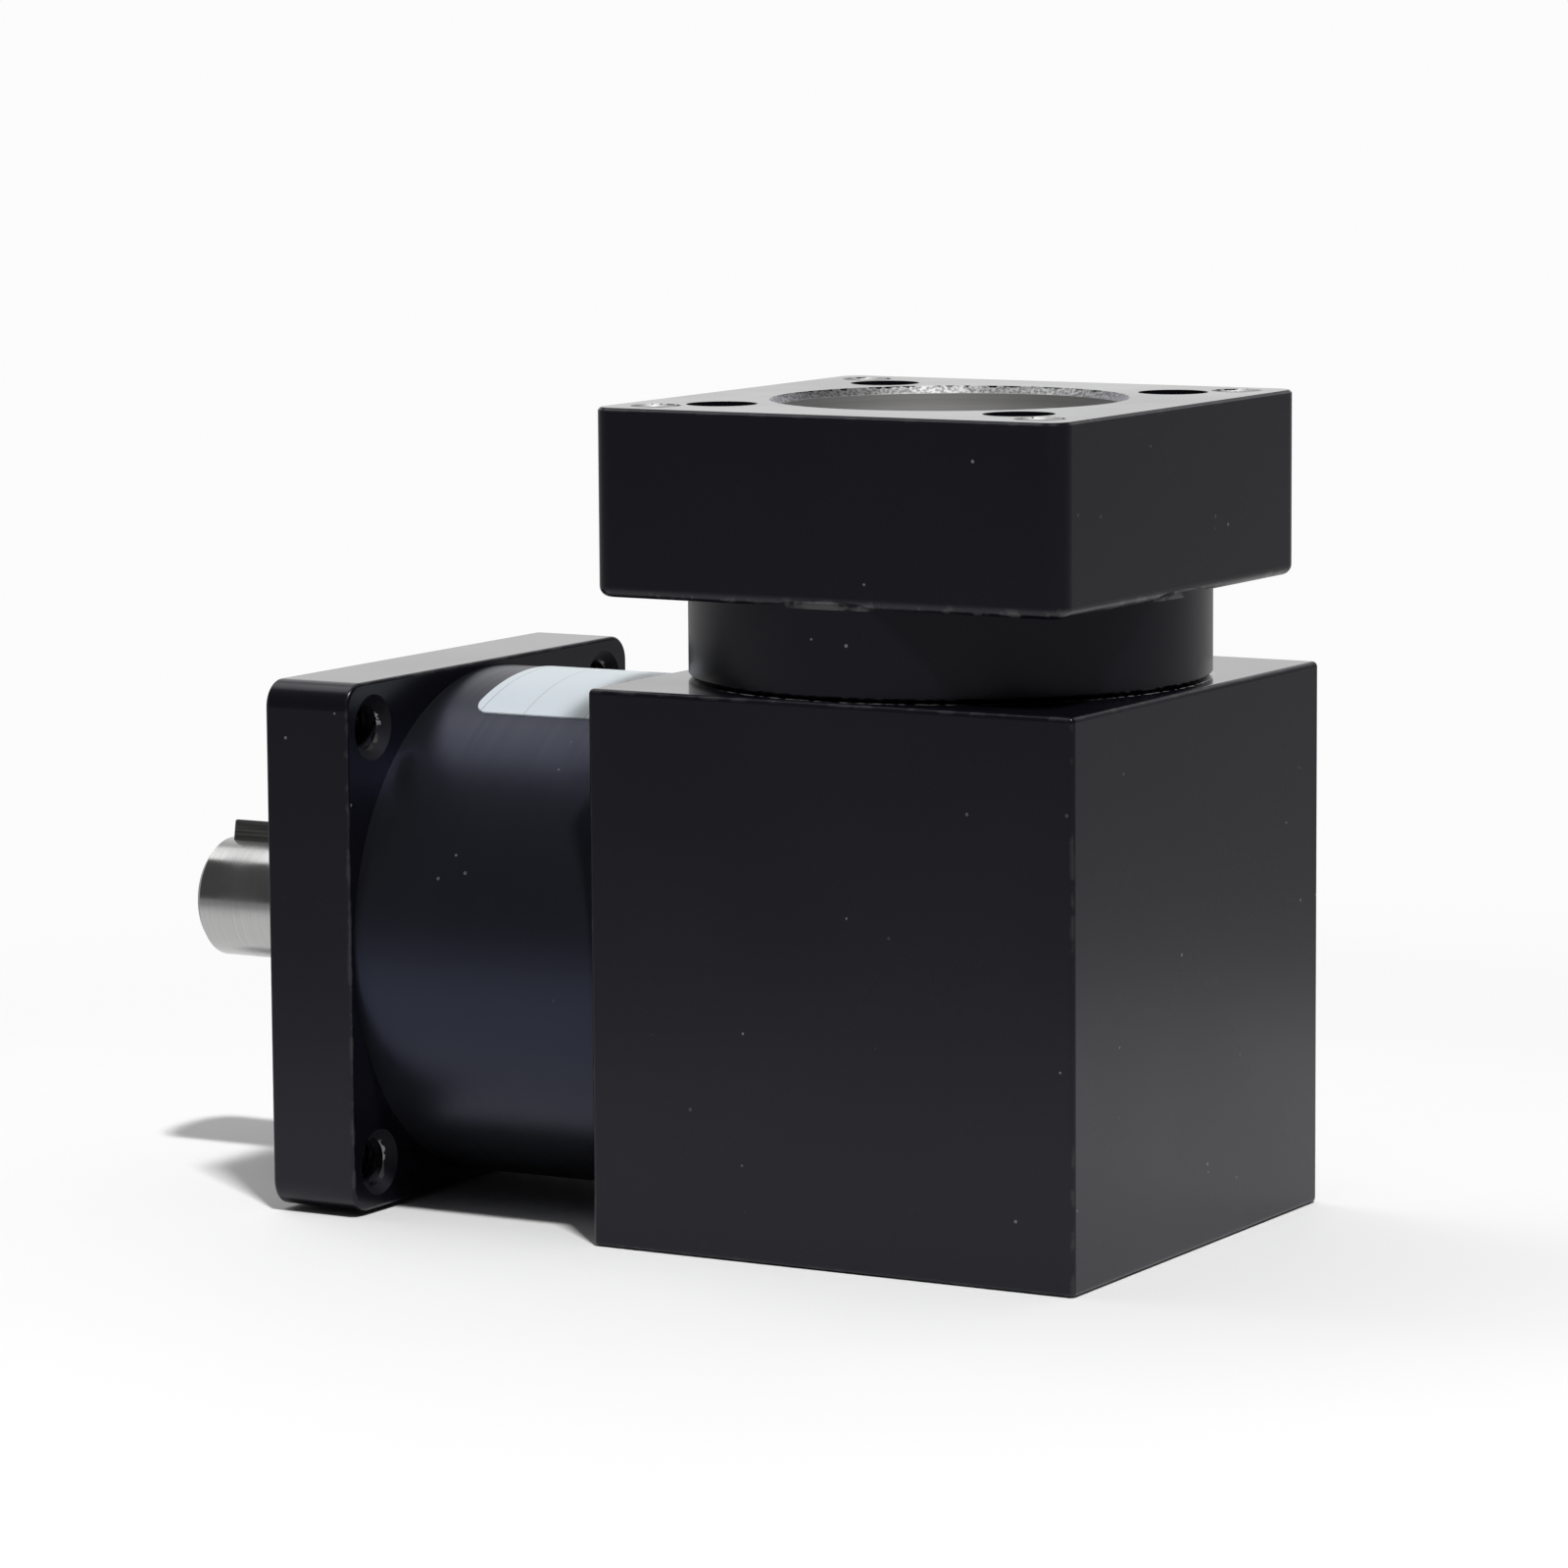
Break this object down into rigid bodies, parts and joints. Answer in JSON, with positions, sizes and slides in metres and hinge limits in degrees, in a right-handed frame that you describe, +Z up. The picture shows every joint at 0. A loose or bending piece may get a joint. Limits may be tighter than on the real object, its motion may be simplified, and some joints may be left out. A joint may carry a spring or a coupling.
{
  "type": "right angle planetary gearbox",
  "caption": "Black right-angle planetary gearbox with a keyed output shaft, round ring gear barrel, cubic bevel housing and a square motor flange with a shaft clamp.",
  "frame": {"origin": "centre of the output flange's mounting face, on the output axis", "axes": "+X out along the output shaft, +Z up along the input axis towards the motor, +Y across"},
  "size_m": [0.1286, 0.06, 0.0924],
  "materials": {
    "black_anodised": "satin black anodised aluminium",
    "black_oxide": "black oxide on turned steel, slightly blue",
    "ground_steel": "ground shaft steel with fine turning lines",
    "key_steel": "drawn key steel",
    "gear_steel": "hardened and ground gear steel, oiled",
    "bearing_steel": "polished bearing steel",
    "screw_steel": "black oxide screws",
    "spring_steel": "phosphated spring steel",
    "cage_steel": "pressed cage steel",
    "seal_rubber": "black nitrile rubber",
    "collar_aluminium": "turned aluminium",
    "label_film": "pale printed film, no lettering",
    "washer_bronze": "bronze thrust washers"
  },
  "bodies": {
    "casing": {"output_flange": "black_anodised", "ring_gear": "black_oxide", "angle_housing": "black_anodised", "bearing_cartridge": "collar_aluminium", "motor_flange": "black_anodised", "output_seal": "seal_rubber", "barrel_o_ring": "seal_rubber", "input_o_ring": "seal_rubber", "label": "label_film", "access_plug": "screw_steel", "housing_screws": "screw_steel", "cartridge_screws": "screw_steel", "motor_flange_screws": "screw_steel", "input_bore_circlip": "spring_steel", "output_front_outer_race": "bearing_steel", "output_rear_outer_race": "bearing_steel", "sun_front_outer_race": "bearing_steel", "sun_rear_outer_race": "bearing_steel", "input_lower_outer_race": "bearing_steel", "input_upper_outer_race": "bearing_steel"},
    "output": {"output_carrier": "ground_steel", "output_key": "key_steel", "planet_pins": "bearing_steel", "planet_washers": "washer_bronze", "output_front_inner_race": "bearing_steel", "output_rear_inner_race": "bearing_steel"},
    "sun": {"sun_shaft": "gear_steel", "sun_spacer": "gear_steel", "bevel_gear": "gear_steel", "bevel_key": "key_steel", "bevel_nut": "screw_steel", "sun_front_inner_race": "bearing_steel", "sun_rear_inner_race": "bearing_steel"},
    "input": {"input_pinion": "gear_steel", "clamp_collar": "collar_aluminium", "clamp_screw": "screw_steel", "input_shaft_circlip": "spring_steel", "input_lower_inner_race": "bearing_steel", "input_upper_inner_race": "bearing_steel"},
    "planet_1": {"planet_gear_1": "gear_steel"},
    "needles_1": {"planet_needles_1": "bearing_steel"},
    "planet_2": {"planet_gear_2": "gear_steel"},
    "needles_2": {"planet_needles_2": "bearing_steel"},
    "planet_3": {"planet_gear_3": "gear_steel"},
    "needles_3": {"planet_needles_3": "bearing_steel"},
    "output_front_ball_set": {"output_front_balls": "bearing_steel", "output_front_cage": "cage_steel"},
    "output_rear_ball_set": {"output_rear_balls": "bearing_steel", "output_rear_cage": "cage_steel"},
    "sun_front_ball_set": {"sun_front_balls": "bearing_steel", "sun_front_cage": "cage_steel"},
    "sun_rear_ball_set": {"sun_rear_balls": "bearing_steel", "sun_rear_cage": "cage_steel"},
    "input_lower_ball_set": {"input_lower_balls": "bearing_steel", "input_lower_cage": "cage_steel"},
    "input_upper_ball_set": {"input_upper_balls": "bearing_steel", "input_upper_cage": "cage_steel"}
  },
  "joints": [
    {"name": "output_spin", "type": "hinge", "parent": "casing", "child": "output", "pos_m": [0, 0, 0], "axis": [1, 0, 0], "continuous": true},
    {"name": "sun_spin", "type": "hinge", "parent": "casing", "child": "sun", "pos_m": [0, 0, 0], "axis": [1, 0, 0], "continuous": true},
    {"name": "input_spin", "type": "hinge", "parent": "casing", "child": "input", "pos_m": [-0.07128, 0, 0], "axis": [0, 0, 1], "continuous": true},
    {"name": "planet_1_spin", "type": "hinge", "parent": "output", "child": "planet_1", "pos_m": [0, 0, 0.015], "axis": [1, 0, 0], "continuous": true},
    {"name": "needles_1_roll", "type": "hinge", "parent": "output", "child": "needles_1", "pos_m": [0, 0, 0.015], "axis": [1, 0, 0], "continuous": true},
    {"name": "planet_2_spin", "type": "hinge", "parent": "output", "child": "planet_2", "pos_m": [0, -0.01299, -0.0075], "axis": [1, 0, 0], "continuous": true},
    {"name": "needles_2_roll", "type": "hinge", "parent": "output", "child": "needles_2", "pos_m": [0, -0.01299, -0.0075], "axis": [1, 0, 0], "continuous": true},
    {"name": "planet_3_spin", "type": "hinge", "parent": "output", "child": "planet_3", "pos_m": [0, 0.01299, -0.0075], "axis": [1, 0, 0], "continuous": true},
    {"name": "needles_3_roll", "type": "hinge", "parent": "output", "child": "needles_3", "pos_m": [0, 0.01299, -0.0075], "axis": [1, 0, 0], "continuous": true},
    {"name": "output_front_roll", "type": "hinge", "parent": "casing", "child": "output_front_ball_set", "pos_m": [0, 0, 0], "axis": [1, 0, 0], "continuous": true},
    {"name": "output_rear_roll", "type": "hinge", "parent": "casing", "child": "output_rear_ball_set", "pos_m": [0, 0, 0], "axis": [1, 0, 0], "continuous": true},
    {"name": "sun_front_roll", "type": "hinge", "parent": "casing", "child": "sun_front_ball_set", "pos_m": [0, 0, 0], "axis": [1, 0, 0], "continuous": true},
    {"name": "sun_rear_roll", "type": "hinge", "parent": "casing", "child": "sun_rear_ball_set", "pos_m": [0, 0, 0], "axis": [1, 0, 0], "continuous": true},
    {"name": "input_lower_roll", "type": "hinge", "parent": "casing", "child": "input_lower_ball_set", "pos_m": [-0.07128, 0, 0], "axis": [0, 0, 1], "continuous": true},
    {"name": "input_upper_roll", "type": "hinge", "parent": "casing", "child": "input_upper_ball_set", "pos_m": [-0.07128, 0, 0], "axis": [0, 0, 1], "continuous": true}
  ],
  "couplings": [
    {"joint": "sun_spin", "follows": "output_spin", "ratio": 4},
    {"joint": "input_spin", "follows": "output_spin", "ratio": -4},
    {"joint": "planet_1_spin", "follows": "output_spin", "ratio": -3},
    {"joint": "needles_1_roll", "follows": "output_spin", "ratio": -1.8889},
    {"joint": "planet_2_spin", "follows": "output_spin", "ratio": -3},
    {"joint": "needles_2_roll", "follows": "output_spin", "ratio": -1.8889},
    {"joint": "planet_3_spin", "follows": "output_spin", "ratio": -3},
    {"joint": "needles_3_roll", "follows": "output_spin", "ratio": -1.8889},
    {"joint": "output_front_roll", "follows": "output_spin", "ratio": 0.42553},
    {"joint": "output_rear_roll", "follows": "output_spin", "ratio": 0.44839},
    {"joint": "sun_front_roll", "follows": "output_spin", "ratio": 1.669},
    {"joint": "sun_rear_roll", "follows": "output_spin", "ratio": 1.669},
    {"joint": "input_lower_roll", "follows": "output_spin", "ratio": -1.7538},
    {"joint": "input_upper_roll", "follows": "output_spin", "ratio": -1.7538}
  ]
}
